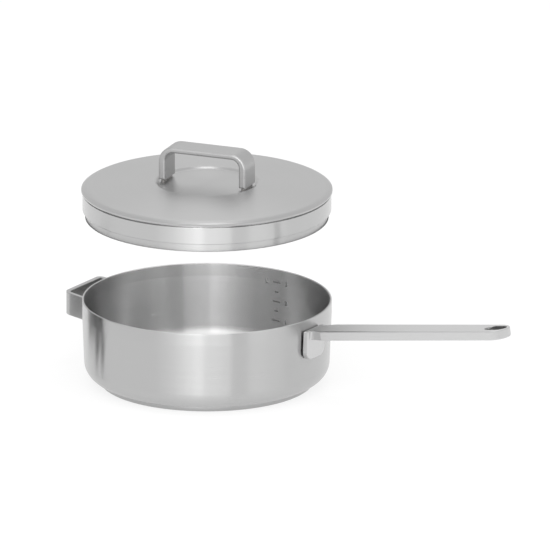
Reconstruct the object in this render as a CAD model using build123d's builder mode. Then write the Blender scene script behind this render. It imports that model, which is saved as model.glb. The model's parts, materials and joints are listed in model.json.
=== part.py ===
from build123d import *
import os
from math import atan2, cos, radians, sin, sqrt

os.makedirs("parts", exist_ok=True)

# Straight-sided saute pan, 24 cm, with its lid held above it. Millimetres.
# The origin is on the pan's axis at the underside of the base, +Z up, +X along the long handle.

# Pan body, drawn from one sheet
pan_radius = 120.0          # outside of the mouth
pan_height = 83.0           # table to rim
pan_sheet = 1.8             # thickness of the drawn sheet
mouth_depth = 12.0          # straight stretch below the rim
wall_lean = 2.7             # how far the wall leans in on its way down to the floor
corner_radius = 17.0        # outside of the rounded corner
rim_round = 0.6             # rounding of the cut rim

# Base, a thick core closed in by a pressed cap
base_radius = 104.0         # outside of the cap
base_height = 5.0           # table to the underside of the pan's floor
base_round = 4.5            # rounding of the cap's lower edge
base_crimp = 0.5            # how far the cap's edge climbs the pan's corner
cap_sheet = 0.8

# Long handle, one bar with a pad at its root
pad_width = 30.0
pad_thickness = 5.7
pad_below_rim = 38.4        # rim to the pad's lower edge
pad_round = 8.0             # lower corners of the pad
pad_edge_round = 1.8        # edges of the pad's outer face
pad_gap = 0.6               # between the wall and the pad's flat back
bar_below_rim = 9.7         # rim to the bar's upper face, at the wall
bar_slope = 9.3             # degrees above level
bar_reach = 224.0           # wall to the tip, measured level
bar_root_width = 30.0
bar_tip_width = 28.0
bar_thickness = 9.3
bar_tip_flat = 1.0          # straight stretch in the middle of the rounded tip
bar_edge_round = 1.4
bar_root_round = 1.5        # hollow corner between the bar and the pad
neck_width = 23.0           # narrow stretch beside the pad
neck_length = 3.0
neck_flare = 10.0           # length over which the neck opens out to the bar
neck_round = 6.0
slot_length = 22.5          # hanging slot
slot_width = 15.0
slot_to_tip = 2.8           # metal left beyond the slot
slot_edge_round = 0.6
weld_radius = 3.2           # welds between the pad and the wall
weld_spacing_y = 15.0
weld_spacing_z = 14.0

# Helper handle, a strap bent into a U
helper_width = 64.0         # over both arms
helper_reach = 23.5         # wall to the outer face
helper_height = 22.0        # of the strap
helper_thickness = 4.0
helper_bend = 7.2           # outside of the bends
helper_below_rim = 11.0     # rim to the strap's upper edge, at the wall
helper_slope = 8.0          # degrees above level
helper_edge_round = 0.5
bead_radius = 2.6           # weld beads beside the arms

# Lid, a top plate pressed over a ring
lid_lift = 90.0             # lid held this far above its seat on the rim
lid_sheet = 1.2
lid_overhang = 0.8          # plate beyond the pan's wall
plate_edge_height = 2.0     # turned edge
plate_edge_round = 0.7
shoulder_width = 7.5
shoulder_rise = 2.6
dome_rise = 5.6             # from the shoulder up to the finger dish
dish_margin = 4.5           # dish beyond the ends of the lid's handle
dish_depth = 2.4
dish_wall = 3.0             # width of the dish's sloping side
band_height = 18.2          # seat to the plate's turned edge
plug_depth = 8.0            # part of the ring that enters the mouth
plug_clearance = 1.2        # between the plug and the inside of the mouth
ring_flange = 14.0          # width of the ring's flat top flange, inside the shoulder
ring_sheet = 1.2
ring_round = 0.5            # edges of the band and lower edge of the plug
crease_height = 1.6         # open crease between the turned edge and the band
crease_depth = 2.2

# Lid handle, a flat bar bent into an arch
lid_handle_length = 90.0
lid_handle_width = 27.0
lid_handle_height = 33.0    # of the arch itself
lid_leg_thickness = 7.0
lid_top_thickness = 5.4
lid_handle_bend = 15.0      # outside of the bends
lid_handle_turn = 11.0      # degrees that the lid stands turned from the long handle
lid_edge_round = 2.0
foot_gap = 2.4              # height of the weld studs under the legs
foot_length = 22.0
foot_thickness = 4.0

overrun = 5.0               # how far a cut runs past the metal

# Heights and radii that follow from these
handle_top = pan_height - bar_below_rim
plate_radius = pan_radius + lid_overhang
dish_radius = lid_handle_length / 2 + dish_margin
band_radius = plate_radius - lid_sheet
plug_radius = pan_radius - pan_sheet - plug_clearance
seat_height = pan_height + lid_lift
edge_height = seat_height + band_height
lid_top_height = edge_height + plate_edge_height + shoulder_rise + dome_rise
dish_floor_height = lid_top_height - dish_depth


def pan_section(inset):
    """Half section of the pan from its axis to its wall, drawn inwards by inset."""
    floor = base_height + inset
    wall = pan_radius - inset
    with BuildSketch(Plane.XZ) as section:
        with BuildLine():
            Polyline(
                (0, pan_height),
                (0, floor),
                (wall - wall_lean, floor),
                (wall, pan_height - mouth_depth),
                (wall, pan_height),
                close=True,
            )
        make_face()
        foot = section.vertices().group_by(Axis.Y)[0].sort_by(Axis.X)[-1]
        fillet(foot, radius=corner_radius - inset)
    return section.sketch


def lid_section(inset, foot):
    """Half section of the lid's top and side, filled down to foot and drawn inwards by inset."""
    side = plate_radius - inset
    shoulder = plate_radius - shoulder_width
    edge = edge_height + plate_edge_height - inset
    dome_foot = edge + shoulder_rise
    dome_top = dome_foot + dome_rise
    dish_floor = dome_top - dish_depth
    well = dish_radius - dish_wall
    with BuildSketch(Plane.XZ) as section:
        with BuildLine():
            Polyline((0, dish_floor), (well, dish_floor), (dish_radius, dome_top))
            Line((dish_radius, dome_top), (shoulder, dome_foot))
            TangentArc((shoulder, dome_foot), (side, edge), tangent=(1, 0))
            Polyline((side, edge), (side, foot), (0, foot), (0, dish_floor))
        make_face()
        fillet(section.vertices().filter_by_position(Axis.X, well, dish_radius), radius=dish_wall)
    return section.sketch


# Outer form of the pan, filled: what is fixed to the pan is shaped against it
with BuildPart() as pan_blank:
    revolve(pan_section(0), axis=Axis.Z)

with BuildPart() as pan_body:
    add(pan_blank.part)
    revolve(pan_section(pan_sheet), axis=Axis.Z, mode=Mode.SUBTRACT)
    fillet(pan_body.faces().sort_by(Axis.Z)[-1].edges(), radius=rim_round)

# Base: the cap is a shallow cup, and the core fills it up to the pan's floor
with BuildPart() as base_blank:
    Cylinder(base_radius, base_height + base_crimp, align=(Align.CENTER, Align.CENTER, Align.MIN))
    fillet(base_blank.faces().sort_by(Axis.Z)[0].edges(), radius=base_round)

with BuildPart() as base_cap:
    add(base_blank.part)
    offset(amount=-cap_sheet, openings=base_cap.faces().sort_by(Axis.Z)[-1])
    add(pan_blank.part, mode=Mode.SUBTRACT)

with BuildPart() as base_core:
    add(base_blank.part)
    add(pan_blank.part, mode=Mode.SUBTRACT)
    add(base_cap.part, mode=Mode.SUBTRACT)

# Long handle: the pad stands off the wall, and the bar is drawn from above on its sloping upper face
slope = radians(bar_slope)
bar_top = Plane(
    origin=(pan_radius, 0, handle_top),
    x_dir=(cos(slope), 0, sin(slope)),
    z_dir=(-sin(slope), 0, cos(slope)),
)
bar_up = Axis(bar_top.origin, bar_top.z_dir)
lean = atan2(wall_lean, pan_height - mouth_depth - base_height)
pad_back = Plane(
    origin=(pan_radius + pad_gap, 0, pan_height - mouth_depth),
    x_dir=(0, 1, 0),
    z_dir=(cos(lean), 0, -sin(lean)),
)
bar_start = (pad_gap + pad_thickness / 2) / cos(slope)
bar_length = bar_reach / cos(slope)
neck_end = pad_gap + pad_thickness + neck_length
flare_end = neck_end + neck_flare
slot_centre = bar_length - slot_to_tip - slot_length / 2
half_neck = neck_width / 2
half_root = bar_root_width / 2
half_tip = bar_tip_width / 2

with BuildPart() as long_handle:
    with BuildSketch(pad_back) as pad_outline:
        with Locations((0, mouth_depth)):
            Rectangle(pad_width, pad_below_rim, align=(Align.CENTER, Align.MAX))
        fillet(pad_outline.vertices().group_by(Axis.Y)[0], radius=pad_round)
    extrude(amount=pad_thickness)
    fillet(long_handle.faces().sort_by(Axis.X)[-1].edges(), radius=pad_edge_round)
    split(bisect_by=bar_top, keep=Keep.BOTTOM)
    with BuildSketch(bar_top) as bar_plan:
        with BuildLine():
            Polyline(
                (bar_start, -half_neck),
                (neck_end, -half_neck),
                (flare_end, -half_root),
                (bar_length, -half_tip),
                (bar_length, half_tip),
                (flare_end, half_root),
                (neck_end, half_neck),
                (bar_start, half_neck),
                close=True,
            )
        make_face()
        fillet(bar_plan.vertices().group_by(Axis.X)[-1], radius=(bar_tip_width - bar_tip_flat) / 2)
        fillet(bar_plan.vertices().filter_by_position(Axis.X, neck_end, flare_end), radius=neck_round)
    extrude(amount=-bar_thickness)
    flat_faces = long_handle.faces().filter_by(bar_top).sort_by(bar_up)
    under_edges = flat_faces[0].edges().sort_by(Axis.X)
    fillet(flat_faces[-1].edges() + under_edges[1:], radius=bar_edge_round)
    under_face = long_handle.faces().filter_by(bar_top).sort_by(bar_up)[0]
    fillet(under_face.edges().sort_by(Axis.X)[0], radius=bar_root_round)
    with BuildSketch(bar_top):
        with Locations((slot_centre, 0)):
            SlotOverall(slot_length, slot_width)
    extrude(amount=-bar_thickness, mode=Mode.SUBTRACT)
    flat_faces = long_handle.faces().filter_by(bar_top).sort_by(bar_up)
    slot_rims = [face.inner_wires()[0].edges() for face in (flat_faces[-1], flat_faces[0])]
    fillet(slot_rims[0] + slot_rims[1], radius=slot_edge_round)

# Welds that hold the pad: short studs from its flat back to the round wall
pad_middle = mouth_depth - (bar_below_rim + pad_below_rim) / 2
with BuildPart() as long_handle_welds:
    with BuildSketch(pad_back):
        with Locations((0, pad_middle)):
            with GridLocations(weld_spacing_y, weld_spacing_z, 2, 2):
                Circle(weld_radius)
    extrude(amount=-pad_thickness)
    add(pan_blank.part, mode=Mode.SUBTRACT)

# Helper handle: a strap on edge, drawn from above, with sloping upper and lower edges
rise = radians(helper_slope)
helper_top = Plane(
    origin=(-pan_radius, 0, pan_height - helper_below_rim),
    x_dir=(-cos(rise), 0, sin(rise)),
    z_dir=(sin(rise), 0, cos(rise)),
)
helper_end = -pan_radius - helper_reach
strap_depth = helper_width / 2 + helper_reach

with BuildPart() as helper_handle:
    with BuildSketch() as strap_plan:
        with Locations((helper_end, 0)):
            Rectangle(strap_depth, helper_width, align=(Align.MIN, Align.CENTER))
        fillet(strap_plan.vertices().group_by(Axis.X)[0], radius=helper_bend)
        offset(amount=-helper_thickness, mode=Mode.SUBTRACT)
        with Locations((helper_end + strap_depth, 0)):
            Rectangle(helper_thickness + overrun, helper_width, mode=Mode.SUBTRACT)
    extrude(amount=pan_height)
    split(bisect_by=helper_top, keep=Keep.BOTTOM)
    split(bisect_by=helper_top.offset(-helper_height), keep=Keep.TOP)
    fillet(helper_handle.faces().filter_by(helper_top).edges(), radius=helper_edge_round)
    add(pan_blank.part, mode=Mode.SUBTRACT)

with BuildPart() as helper_handle_welds:
    bead_height = helper_height - 2 * helper_thickness
    bead_middle = pan_height - helper_below_rim - helper_height / 2
    for side in (-1, 1):
        for arm_face in (helper_width / 2, helper_width / 2 - helper_thickness):
            wall_x = sqrt(pan_radius**2 - arm_face**2)
            with Locations((-wall_x, side * arm_face, bead_middle)):
                Cylinder(bead_radius, bead_height)
    add(pan_blank.part, mode=Mode.SUBTRACT)
    add(helper_handle.part, mode=Mode.SUBTRACT)

# Lid: the top plate is a pressed sheet with a domed top, a finger dish and a turned edge
with BuildPart() as lid_plate:
    revolve(lid_section(0, edge_height), axis=Axis.Z)
    revolve(lid_section(lid_sheet, edge_height), axis=Axis.Z, mode=Mode.SUBTRACT)
    rings = lid_plate.edges().filter_by(GeomType.CIRCLE)
    fillet(rings.group_by(SortBy.RADIUS)[-1], radius=plate_edge_round)

# Ring under the plate: a flange, the band that shows, the seat on the rim and the plug in the mouth.
# Its wall steps in just below the plate, which leaves an open crease under the turned edge.
plug_end = Plane.XY.offset(seat_height - plug_depth)
crease_bottom = edge_height - crease_height
step_radius = band_radius - crease_depth
with BuildPart() as lid_ring:
    revolve(lid_section(lid_sheet, seat_height), axis=Axis.Z)
    with BuildSketch(plug_end):
        Circle(plug_radius)
    extrude(amount=plug_depth)
    fillet(lid_ring.edges().group_by(Axis.Z)[0], radius=ring_round)
    revolve(lid_section(lid_sheet + ring_sheet, seat_height + ring_sheet), axis=Axis.Z, mode=Mode.SUBTRACT)
    with BuildSketch(plug_end):
        Circle(plug_radius - ring_sheet)
    extrude(amount=plug_depth + ring_sheet, mode=Mode.SUBTRACT)
    with BuildSketch(plug_end):
        Circle(plate_radius - shoulder_width - ring_flange)
    extrude(amount=plug_depth + lid_top_height - seat_height, mode=Mode.SUBTRACT)
    with BuildSketch(Plane.XY.offset(crease_bottom - ring_sheet)):
        Circle(band_radius)
        Circle(step_radius - ring_sheet, mode=Mode.SUBTRACT)
    extrude(amount=crease_height + plate_edge_height - lid_sheet + ring_sheet)
    with BuildSketch(Plane.XY.offset(crease_bottom)):
        Circle(band_radius + overrun)
        Circle(step_radius, mode=Mode.SUBTRACT)
    extrude(amount=crease_height, mode=Mode.SUBTRACT)
    for height in (seat_height, crease_bottom):
        rings = lid_ring.edges().filter_by(GeomType.CIRCLE).filter_by_position(Axis.Z, height, height)
        fillet(rings.sort_by(SortBy.RADIUS)[-1], radius=ring_round)

# Lid handle: an arch whose legs stand on two weld studs in the dish
turn = radians(lid_handle_turn)
arch_side = Plane(
    origin=(0, 0, dish_floor_height + foot_gap),
    x_dir=(cos(turn), sin(turn), 0),
    z_dir=(sin(turn), -cos(turn), 0),
)
arch_floor = Plane(origin=(0, 0, dish_floor_height), x_dir=arch_side.x_dir, z_dir=(0, 0, 1))
leg_spacing = lid_handle_length - lid_leg_thickness

with BuildPart() as lid_handle:
    with BuildSketch(arch_side) as arch:
        Rectangle(lid_handle_length, lid_handle_height, align=(Align.CENTER, Align.MIN))
        fillet(arch.vertices().group_by(Axis.Y)[-1], radius=lid_handle_bend)
        with BuildSketch(mode=Mode.SUBTRACT) as opening:
            Rectangle(
                lid_handle_length - 2 * lid_leg_thickness,
                lid_handle_height - lid_top_thickness,
                align=(Align.CENTER, Align.MIN),
            )
            fillet(opening.vertices().group_by(Axis.Y)[-1], radius=lid_handle_bend - lid_leg_thickness)
    extrude(amount=lid_handle_width / 2, both=True)
    fillet(lid_handle.faces().filter_by(arch_side).edges(), radius=lid_edge_round)

with BuildPart() as lid_handle_welds:
    with BuildSketch(arch_floor):
        with GridLocations(leg_spacing, 0, 2, 1):
            SlotOverall(foot_length, foot_thickness, rotation=90)
    extrude(amount=foot_gap)

pieces = {
    "pan_body": pan_body,
    "base_core": base_core,
    "base_cap": base_cap,
    "long_handle": long_handle,
    "long_handle_welds": long_handle_welds,
    "helper_handle": helper_handle,
    "helper_handle_welds": helper_handle_welds,
    "lid_plate": lid_plate,
    "lid_ring": lid_ring,
    "lid_handle": lid_handle,
    "lid_handle_welds": lid_handle_welds,
}
for name, piece in pieces.items():
    piece.part.label = name
    export_step(piece.part, f"parts/{name}.step")
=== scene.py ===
import json
from math import cos, pi, radians, sin, tan

import bpy
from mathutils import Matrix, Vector


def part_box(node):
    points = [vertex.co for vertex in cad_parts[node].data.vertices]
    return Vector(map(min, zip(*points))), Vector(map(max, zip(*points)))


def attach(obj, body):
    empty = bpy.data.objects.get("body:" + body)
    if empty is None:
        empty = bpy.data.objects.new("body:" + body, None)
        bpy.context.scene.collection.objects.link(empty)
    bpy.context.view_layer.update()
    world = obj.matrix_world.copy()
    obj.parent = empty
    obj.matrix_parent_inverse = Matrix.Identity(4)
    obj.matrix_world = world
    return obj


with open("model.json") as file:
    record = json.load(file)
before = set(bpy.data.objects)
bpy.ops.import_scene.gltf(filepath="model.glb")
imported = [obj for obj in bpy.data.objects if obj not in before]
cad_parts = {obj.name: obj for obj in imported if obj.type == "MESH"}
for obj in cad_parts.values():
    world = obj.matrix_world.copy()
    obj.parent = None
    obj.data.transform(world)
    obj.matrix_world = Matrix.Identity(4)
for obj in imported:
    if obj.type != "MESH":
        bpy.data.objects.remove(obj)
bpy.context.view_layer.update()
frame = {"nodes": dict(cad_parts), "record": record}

nodes = frame["nodes"]

# Camera: it stands beside the long handle and looks down on the pan a little, through a lens so
# long that the view has no depth. The centre of the pan's rim falls on its own pixel of the image.
image_side = 550
pixels_per_metre = 1041.0
rim_centre_pixel = (206.9, 298.7)
camera_azimuth = radians(33)
camera_elevation = radians(16.7)
camera_distance = 3.0
away = Vector((sin(camera_azimuth), -cos(camera_azimuth), 0))
to_camera = away * cos(camera_elevation) + Vector((0, 0, sin(camera_elevation)))
image_right = Vector((cos(camera_azimuth), sin(camera_azimuth), 0))
image_up = to_camera.cross(image_right)
rim_centre = Vector((0, 0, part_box("pan_body")[1].z))
aim = rim_centre + (
    image_right * (image_side / 2 - rim_centre_pixel[0])
    + image_up * (rim_centre_pixel[1] - image_side / 2)
) / pixels_per_metre

bpy.ops.object.camera_add(location=aim + to_camera * camera_distance)
camera = bpy.context.object
camera.name = "camera"
camera.rotation_euler = to_camera.to_track_quat("Z", "Y").to_euler()
camera.data.type = "ORTHO"
camera.data.ortho_scale = image_side / pixels_per_metre
bpy.context.scene.camera = camera
bpy.context.scene.view_settings.view_transform = "Standard"


def add_node(tree, kind, **settings):
    """A shader node with its settings, and its input values where a name is one of its inputs."""
    node = tree.nodes.new(kind)
    for name, value in settings.items():
        if hasattr(node, name):
            setattr(node, name, value)
        else:
            node.inputs[name].default_value = value
    return node


# Floor: a plain sheet that runs on past the image. To the camera and in the steel it is lifted to
# white, and it still takes the pan's soft shadow.
floor_side = 8.0
floor_drop = 0.0002
floor_grey = 0.25
floor_lift = 0.77
bpy.ops.mesh.primitive_plane_add(size=floor_side, location=(0, 0, -floor_drop))
floor = bpy.context.object
floor.name = "floor"
floor_paint = bpy.data.materials.new("floor_paint")
floor_paint.use_nodes = True
tree = floor_paint.node_tree
shader = tree.nodes["Principled BSDF"]
shader.inputs["Base Color"].default_value = (floor_grey, floor_grey, floor_grey, 1)
shader.inputs["Roughness"].default_value = 1
shader.inputs["Emission Color"].default_value = (1, 1, 1, 1)
rays = add_node(tree, "ShaderNodeLightPath")
lift = add_node(tree, "ShaderNodeMath", operation="MULTIPLY")
lift.inputs[1].default_value = floor_lift
glossy_or_through = add_node(tree, "ShaderNodeMath", operation="MAXIMUM")
tree.links.new(rays.outputs["Is Glossy Ray"], glossy_or_through.inputs[0])
tree.links.new(rays.outputs["Is Transmission Ray"], glossy_or_through.inputs[1])
seen = add_node(tree, "ShaderNodeMath", operation="MAXIMUM")
tree.links.new(rays.outputs["Is Camera Ray"], seen.inputs[0])
tree.links.new(glossy_or_through.outputs[0], seen.inputs[1])
tree.links.new(seen.outputs[0], lift.inputs[0])
tree.links.new(lift.outputs[0], shader.inputs["Emission Strength"])
floor.data.materials.append(floor_paint)

# Studio: pale walls all round, a row of tall soft boxes, one overhead and one behind, and cards that
# draw the darker stripes down the steel. A bearing is in degrees, from the camera's side rightwards.
studio_grey = 0.76
ring_distance = 3.0         # soft boxes, from the pan's axis
ring_bottom = 0.1
ring_top = 2.9
soft_boxes = (              # from bearing, to bearing, brightness
    (-44, -36, 0.45),
    (-36, -28, 0.9),
    (-28, -20, 1.65),
    (-20, -12, 2.5),
    (-12, -3, 3.3),
    (-3, 12, 1.9),
    (12, 22, 1.5),
    (38, 56, 0.75),
    (56, 76, 0.5),
)
world = bpy.data.worlds.new("studio")
bpy.context.scene.world = world
world.use_nodes = True
backdrop = world.node_tree.nodes["Background"]
backdrop.inputs["Color"].default_value = (studio_grey, studio_grey, studio_grey, 1)
backdrop.inputs["Strength"].default_value = 1


def bearing_line(bearing):
    """Level direction from the pan's axis at a bearing."""
    turn = camera_azimuth + radians(bearing)
    return Vector((sin(turn), -cos(turn), 0))


def add_lamp(name, shape, place, outwards, width, tall, brightness):
    """An area lamp that the camera doesn't see, with its back turned outwards."""
    bpy.ops.object.light_add(type="AREA", location=place)
    lamp = bpy.context.object
    lamp.name = name
    lamp.data.shape = shape
    lamp.data.size = width
    lamp.data.size_y = tall
    area = width * tall if shape == "RECTANGLE" else pi * width * tall / 4
    lamp.data.energy = brightness * area * pi
    lamp.rotation_euler = outwards.to_track_quat("Z", "Y").to_euler()
    lamp.visible_camera = False
    return lamp


# The soft boxes leave out the lid's top and the bar, which would throw them back as glare.
not_lit = bpy.data.collections.new("not_lit")
for name in ("lid_plate", "long_handle"):
    not_lit.objects.link(nodes[name])
for entry in not_lit.collection_objects:
    entry.light_linking.link_state = "EXCLUDE"
ring_middle = (ring_bottom + ring_top) / 2
ring_tall = ring_top - ring_bottom
for number, (start, end, brightness) in enumerate(soft_boxes):
    line = bearing_line((start + end) / 2)
    width = 2 * ring_distance * tan(radians(end - start) / 2)
    place = line * ring_distance + Vector((0, 0, ring_middle))
    lamp = add_lamp(f"soft_box_{number}", "RECTANGLE", place, line, width, ring_tall, brightness)
    lamp.light_linking.receiver_collection = not_lit

top_box_height = 1.6
top_box_forward = 0.2       # towards the camera
top_box_side = 0.55
top_box_brightness = 2.1
place = Vector((0, 0, top_box_height)) + away * top_box_forward
add_lamp("top_box", "RECTANGLE", place, place, top_box_side, top_box_side, top_box_brightness)

back_box_distance = 2.4
back_box_height = 2.5
back_box_width = 1.0
back_box_tall = 2.2
back_box_brightness = 0.4
place = bearing_line(180) * back_box_distance + Vector((0, 0, back_box_height))
add_lamp("back_box", "RECTANGLE", place, place, back_box_width, back_box_tall, back_box_brightness)


def card_paint(name, brightness):
    """Paint for a card that looks equally bright all over."""
    paint = bpy.data.materials.new(name)
    paint.use_nodes = True
    tree = paint.node_tree
    glow = add_node(tree, "ShaderNodeEmission", Strength=brightness)
    tree.links.new(glow.outputs[0], tree.nodes["Material Output"].inputs["Surface"])
    return paint


def show_in_steel_only(card, paint):
    """Paints a card, and hides it from everything but the steel that mirrors it."""
    card.visible_camera = False
    card.visible_diffuse = False
    card.visible_shadow = False
    card.data.materials.append(paint)


def add_wall_card(name, bearing, reach, width, bottom, top, paint):
    """An upright card that the wall mirrors at a bearing. Its reach is its distance from there."""
    mirrored = bearing_line(2 * bearing)
    place = bearing_line(bearing) * wall_radius + mirrored * reach
    place.z = (bottom + top) / 2
    bpy.ops.mesh.primitive_plane_add(size=1, location=place)
    card = bpy.context.object
    card.name = name
    card.scale = (width, top - bottom, 1)
    card.rotation_euler = mirrored.to_track_quat("Z", "Y").to_euler()
    show_in_steel_only(card, paint)


wall_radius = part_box("pan_body")[1].x
black_card = card_paint("black_card", brightness=0.02)
grey_card = card_paint("grey_card", brightness=0.26)
wall_cards = (              # name, bearing, reach, width, bottom, top, paint
    ("wall_card_0", -62.4, 0.08, 0.011, 0.014, 0.13, black_card),
    ("wall_card_1", -57.2, 0.08, 0.011, 0.014, 0.13, black_card),
    ("wide_card", -63.5, 0.10, 0.062, 0.03, 0.11, grey_card),
)
for card in wall_cards:
    add_wall_card(*card)


# Pan body: one sheet of stainless steel, drawn over a former and brushed round and round on a
# spindle, so light stretches into upright columns on the wall and into rays on the floor.
def steel(name, tone, roughness, stretch, grain, fine, slow, streak=0.03):
    """Brushed stainless steel. grain is "round" about +Z, or the direction that the brush ran.

    fine and slow set how closely the brush lines follow each other across and along the grain, and
    streak is how far tone and roughness swing with them. stretch draws a highlight out across them.
    """
    noise_low = 0.3             # the noise seldom leaves these two
    noise_high = 0.7
    cloud_scale = 14
    cloud_share = 0.35
    material = bpy.data.materials.new(name)
    material.use_nodes = True
    tree = material.node_tree
    link = tree.links.new
    shader = tree.nodes["Principled BSDF"]
    shader.inputs["Metallic"].default_value = 1
    shader.inputs["Anisotropic"].default_value = stretch
    place = add_node(tree, "ShaderNodeTexCoord").outputs["Object"]
    geometry = add_node(tree, "ShaderNodeNewGeometry")
    along = add_node(tree, "ShaderNodeVectorMath", operation="CROSS_PRODUCT")
    if grain == "round":
        along.inputs[0].default_value = (0, 0, 1)
        link(place, along.inputs[1])
        parts = add_node(tree, "ShaderNodeSeparateXYZ")
        link(place, parts.inputs[0])
        flat = add_node(tree, "ShaderNodeCombineXYZ")
        link(parts.outputs["X"], flat.inputs["X"])
        link(parts.outputs["Y"], flat.inputs["Y"])
        radius = add_node(tree, "ShaderNodeVectorMath", operation="LENGTH")
        link(flat.outputs[0], radius.inputs[0])
        across = add_node(tree, "ShaderNodeMath", operation="SUBTRACT")
        link(radius.outputs["Value"], across.inputs[0])
        link(parts.outputs["Z"], across.inputs[1])
        streaks = add_node(tree, "ShaderNodeCombineXYZ")
        link(parts.outputs["X"], streaks.inputs["X"])
        link(parts.outputs["Y"], streaks.inputs["Y"])
        link(across.outputs[0], streaks.inputs["Z"])
        stretched = add_node(tree, "ShaderNodeVectorMath", operation="MULTIPLY")
        stretched.inputs[1].default_value = (slow, slow, fine)
        link(streaks.outputs[0], stretched.inputs[0])
    else:
        brush = Vector(grain).normalized()
        along.operation = "ADD"
        along.inputs[0].default_value = brush
        turned = add_node(tree, "ShaderNodeMapping", vector_type="TEXTURE")
        turned.inputs["Rotation"].default_value = brush.to_track_quat("X", "Z").to_euler()
        link(place, turned.inputs["Vector"])
        stretched = add_node(tree, "ShaderNodeVectorMath", operation="MULTIPLY")
        stretched.inputs[1].default_value = (slow, fine, fine)
        link(turned.outputs[0], stretched.inputs[0])
    tangent = add_node(tree, "ShaderNodeVectorMath", operation="CROSS_PRODUCT")
    link(geometry.outputs["Normal"], tangent.inputs[0])
    link(along.outputs[0], tangent.inputs[1])
    link(tangent.outputs[0], shader.inputs["Tangent"])
    lines = add_node(tree, "ShaderNodeTexNoise", Scale=1, Detail=2)
    link(stretched.outputs[0], lines.inputs["Vector"])
    clouds = add_node(tree, "ShaderNodeTexNoise", Scale=cloud_scale, Detail=2)
    link(place, clouds.inputs["Vector"])
    mixed = add_node(tree, "ShaderNodeMath", operation="MULTIPLY_ADD")
    mixed.inputs[1].default_value = cloud_share
    link(clouds.outputs["Fac"], mixed.inputs[0])
    link(lines.outputs["Fac"], mixed.inputs[2])
    gloss = add_node(tree, "ShaderNodeMapRange")
    gloss.inputs["From Min"].default_value = noise_low
    gloss.inputs["From Max"].default_value = noise_high + cloud_share
    gloss.inputs["To Min"].default_value = roughness * (1 - 2 * streak)
    gloss.inputs["To Max"].default_value = roughness * (1 + 2 * streak)
    link(mixed.outputs[0], gloss.inputs["Value"])
    link(gloss.outputs[0], shader.inputs["Roughness"])
    tint = add_node(tree, "ShaderNodeValToRGB")
    tint.color_ramp.elements[0].position = noise_low
    tint.color_ramp.elements[0].color = (*((1 - streak) * part for part in tone), 1)
    tint.color_ramp.elements[1].position = noise_high
    tint.color_ramp.elements[1].color = (*((1 + streak / 2) * part for part in tone), 1)
    link(lines.outputs["Fac"], tint.inputs[0])
    link(tint.outputs[0], shader.inputs["Base Color"])
    return material


def finish_node(name, material):
    """Gives a piece of the frame its finish."""
    nodes[name].data.materials.clear()
    nodes[name].data.materials.append(material)


pan_steel = steel(
    "pan_steel", tone=(0.52, 0.52, 0.52), roughness=0.27, stretch=1.0,
    grain="round", fine=450, slow=6, streak=0.01,
)
finish_node("pan_body", pan_steel)

# A light under the lid, which rises and falls with it, stands in for what an open pan gets from
# above. It reaches only the pan body and its marks.
inside_light_drop = 0.002   # below the lid ring
inside_light_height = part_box("lid_ring")[0].z - inside_light_drop
inside_light_width = 0.236
inside_light_brightness = 1.65
inside_light = add_lamp(
    "inside_light",
    "DISK",
    (0, 0, inside_light_height),
    Vector((0, 0, 1)),
    inside_light_width,
    inside_light_width,
    inside_light_brightness,
)
lit_inside = bpy.data.collections.new("lit_inside")
lit_inside.objects.link(nodes["pan_body"])
inside_light.light_linking.receiver_collection = lit_inside
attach(inside_light, "lid")

# Volume marks: half litres and litres, burnt grey into the inside of the wall with a laser. Each
# mark is a film on the steel, laid on the wall itself, with plain numbers beside the full litres.
mark_azimuth = 88.3         # of the marks, in degrees from the long handle
number_azimuth = 82.7
unit_azimuth = 93.8
top_mark_height = 0.0701
half_litre_height = 0.00945
mark_count = 5
long_mark = 0.009           # for a full litre
short_mark = 0.0045         # for a half
mark_width = 0.0015
mark_round = 0.0003
mark_steps = 8              # into which a mark is cut, so that it bends with the wall
mark_film = 0.00005
mark_stand = 0.00007        # off the wall
number_size = 0.006
number_weight = 0.0004


def lay_on_wall(piece, azimuth, height):
    """Wraps a flat piece onto the inside of the pan's wall, facing the pan's axis."""
    for vertex in piece.data.vertices:
        turn = radians(azimuth) - vertex.co.x / wall_radius
        outward = Vector((cos(turn), sin(turn), 0))
        start = Vector((0, 0, height + vertex.co.y))
        hit = nodes["pan_body"].ray_cast(start, outward)[1]
        vertex.co = hit - outward * mark_stand
    film = piece.modifiers.new("film", "SOLIDIFY")
    film.thickness = mark_film
    bpy.ops.object.select_all(action="DESELECT")
    piece.select_set(True)
    bpy.context.view_layer.objects.active = piece
    bpy.ops.object.modifier_apply(modifier=film.name)
    piece.data.materials.clear()
    piece.data.materials.append(mark_grey)
    lit_inside.objects.link(piece)
    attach(piece, "pan")


def add_mark(name, length, height):
    """A level mark with rounded ends."""
    bpy.ops.mesh.primitive_plane_add(size=1)
    mark = bpy.context.object
    mark.name = name
    mark.scale = (length, mark_width, 1)
    bpy.ops.object.transform_apply(location=False, rotation=False, scale=True)
    bpy.ops.object.mode_set(mode="EDIT")
    bpy.ops.mesh.select_all(action="SELECT")
    bpy.ops.mesh.bevel(offset=mark_round, segments=3, affect="VERTICES")
    for step in range(1, mark_steps):
        bpy.ops.mesh.select_all(action="SELECT")
        cut = length * (step / mark_steps - 0.5)
        bpy.ops.mesh.bisect(plane_co=(cut, 0, 0), plane_no=(1, 0, 0))
    bpy.ops.object.mode_set(mode="OBJECT")
    lay_on_wall(mark, mark_azimuth, height)


def add_sign(name, text, azimuth, height):
    """A number or letter beside the marks."""
    bpy.ops.object.text_add()
    sign = bpy.context.object
    sign.name = name
    sign.data.body = text
    sign.data.size = number_size
    sign.data.offset = number_weight
    sign.data.align_x = "CENTER"
    sign.data.align_y = "CENTER"
    bpy.ops.object.convert(target="MESH")
    sign = bpy.context.object
    lay_on_wall(sign, azimuth, height)


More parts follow.
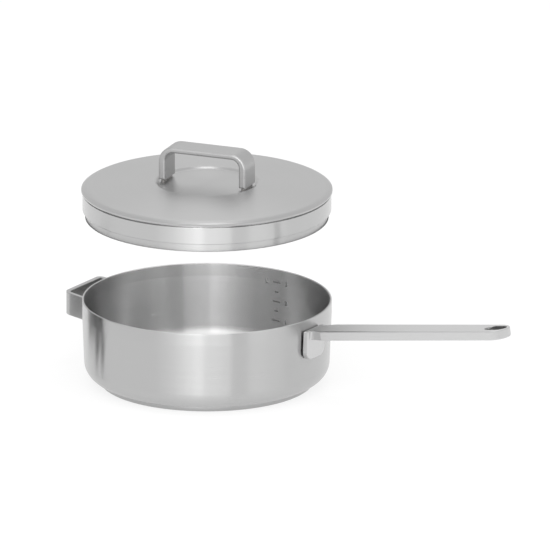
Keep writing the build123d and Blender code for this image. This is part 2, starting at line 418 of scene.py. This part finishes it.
mark_grey = steel(
    "mark_grey", tone=(0.27, 0.27, 0.27), roughness=0.5, stretch=0.2,
    grain="round", fine=700, slow=9,
)
for number in range(mark_count):
    height = top_mark_height - number * half_litre_height
    full_litre = number % 2 == 0
    add_mark(f"volume_mark_{number}", long_mark if full_litre else short_mark, height)
    if full_litre:
        litres = (mark_count - number + 1) // 2
        add_sign(f"volume_number_{litres}", str(litres), number_azimuth, height)
add_sign("volume_unit", "L", unit_azimuth, top_mark_height)

# Base: a cap of stainless steel pressed over a thick core of aluminium, and both brazed under the
# pan's floor. The cap is turned on a lathe; the core is closed in and shows nowhere.
base_steel = steel(
    "base_steel", tone=(0.44, 0.44, 0.44), roughness=0.36, stretch=0.8,
    grain="round", fine=900, slow=12,
)
core_aluminium = steel(
    "core_aluminium", tone=(0.66, 0.67, 0.68), roughness=0.45, stretch=0.3,
    grain=(1, 0, 0), fine=500, slow=20,
)
finish_node("base_cap", base_steel)
finish_node("base_core", core_aluminium)

# Long handle: a bar of stainless steel, forged with its pad, pierced for hanging and brushed along
# its length. Four spot welds hold the pad to the wall.
bar_rise = 0.164            # for each metre along the bar
bar_steel = steel(
    "bar_steel", tone=(0.73, 0.73, 0.73), roughness=0.5, stretch=0.3,
    grain=(1, 0.05, bar_rise), fine=900, slow=25,
)
weld_steel = steel(
    "weld_steel", tone=(0.40, 0.39, 0.38), roughness=0.48, stretch=0.1,
    grain=(0, 0.1, 1), fine=800, slow=300,
)
finish_node("long_handle", bar_steel)
finish_node("long_handle_welds", weld_steel)

# Hanging slot: it has rounded ends and is punched through the bar near its tip. The bar's tone
# drops inside it, as painted shade for the slot's shadowed inside.
slot_straight = 0.0037      # from the slot's middle to the centre of either rounded end
slot_reach = 0.0078         # from there to just inside the steel
slot_painted_shade = 0.25
mounts = {mount["name"]: mount for mount in frame["record"]["mounts"]}
slot_middle = mounts["hanging_slot"]["pos_m"]
tree = bar_steel.node_tree
place = add_node(tree, "ShaderNodeTexCoord").outputs["Object"]
steps = (                   # to how far, seen from above, a point is from the slot's straight middle
    ("SUBTRACT", (slot_middle[0], 0, 0)),
    ("MULTIPLY", (1, 1, 0)),
    ("ABSOLUTE", None),
    ("SUBTRACT", (slot_straight, 0, 0)),
    ("MAXIMUM", (0, 0, 0)),
)
for operation, value in steps:
    step = add_node(tree, "ShaderNodeVectorMath", operation=operation)
    tree.links.new(place, step.inputs[0])
    if value:
        step.inputs[1].default_value = value
    place = step.outputs[0]
reach = add_node(tree, "ShaderNodeVectorMath", operation="LENGTH")
tree.links.new(place, reach.inputs[0])
outside = add_node(tree, "ShaderNodeMath", operation="GREATER_THAN")
outside.inputs[1].default_value = slot_reach
tree.links.new(reach.outputs["Value"], outside.inputs[0])
shade = add_node(tree, "ShaderNodeMath", operation="MAXIMUM")
shade.inputs[1].default_value = slot_painted_shade
tree.links.new(outside.outputs[0], shade.inputs[0])
colour = tree.nodes["Principled BSDF"].inputs["Base Color"]
# painted shade: the bar's colour is scaled down where the slot is
shaded = add_node(tree, "ShaderNodeVectorMath", operation="SCALE")
tree.links.new(colour.links[0].from_socket, shaded.inputs[0])
tree.links.new(shade.outputs[0], shaded.inputs["Scale"])
tree.links.new(shaded.outputs[0], colour)

# Helper handle: a strap of stainless steel bent into a U and set on edge, brushed along its length.
# Its tone is darker than the bar's as painted shade. A weld bead runs down both sides of each arm.
# painted shade: a darker tone of the same steel as the bar
helper_steel_painted_shade = steel(
    "helper_steel_painted_shade", tone=(0.48, 0.48, 0.48), roughness=0.28, stretch=0.4,
    grain=(0.05, 1, 0.1), fine=900, slow=60,
)
finish_node("helper_handle", helper_steel_painted_shade)
finish_node("helper_handle_welds", weld_steel)

# Lid plate: a disc of stainless steel pressed to a shallow dome with a finger dish, and turned
# down at its edge. It is brushed on the spindle like the pan, but finer.
lid_steel = steel(
    "lid_steel", tone=(0.565, 0.565, 0.565), roughness=0.36, stretch=0.6,
    grain="round", fine=1500, slow=9, streak=0.02,
)
finish_node("lid_plate", lid_steel)

# Lid ring: a second pressing under the plate, with the band that shows, the seat that rests on the
# rim and the plug that enters the mouth. A dark card below it draws the line under its seat.
ring_steel = steel(
    "ring_steel", tone=(0.54, 0.54, 0.54), roughness=0.235, stretch=1.0,
    grain="round", fine=450, slow=6, streak=0.008,
)
finish_node("lid_ring", ring_steel)

seat_card_radius = 0.122
seat_card_rise = 0.0005     # above the light inside the pan
seat_card_place = (0, 0, inside_light_height + seat_card_rise)
bpy.ops.mesh.primitive_circle_add(
    vertices=96, radius=seat_card_radius, fill_type="NGON", location=seat_card_place
)
seat_card = bpy.context.object
seat_card.name = "seat_card"
show_in_steel_only(seat_card, black_card)
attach(seat_card, "lid")

# Lid handle: a flat bar of stainless steel bent into an arch, brushed along its length, standing
# on two studs that are welded to the dish.
arch_turn = radians(11)     # from the line of the long handle
arch_steel = steel(
    "arch_steel", tone=(0.52, 0.52, 0.52), roughness=0.50, stretch=0.3,
    grain=(cos(arch_turn), sin(arch_turn), 0.1), fine=900, slow=25,
)
finish_node("lid_handle", arch_steel)
finish_node("lid_handle_welds", weld_steel)
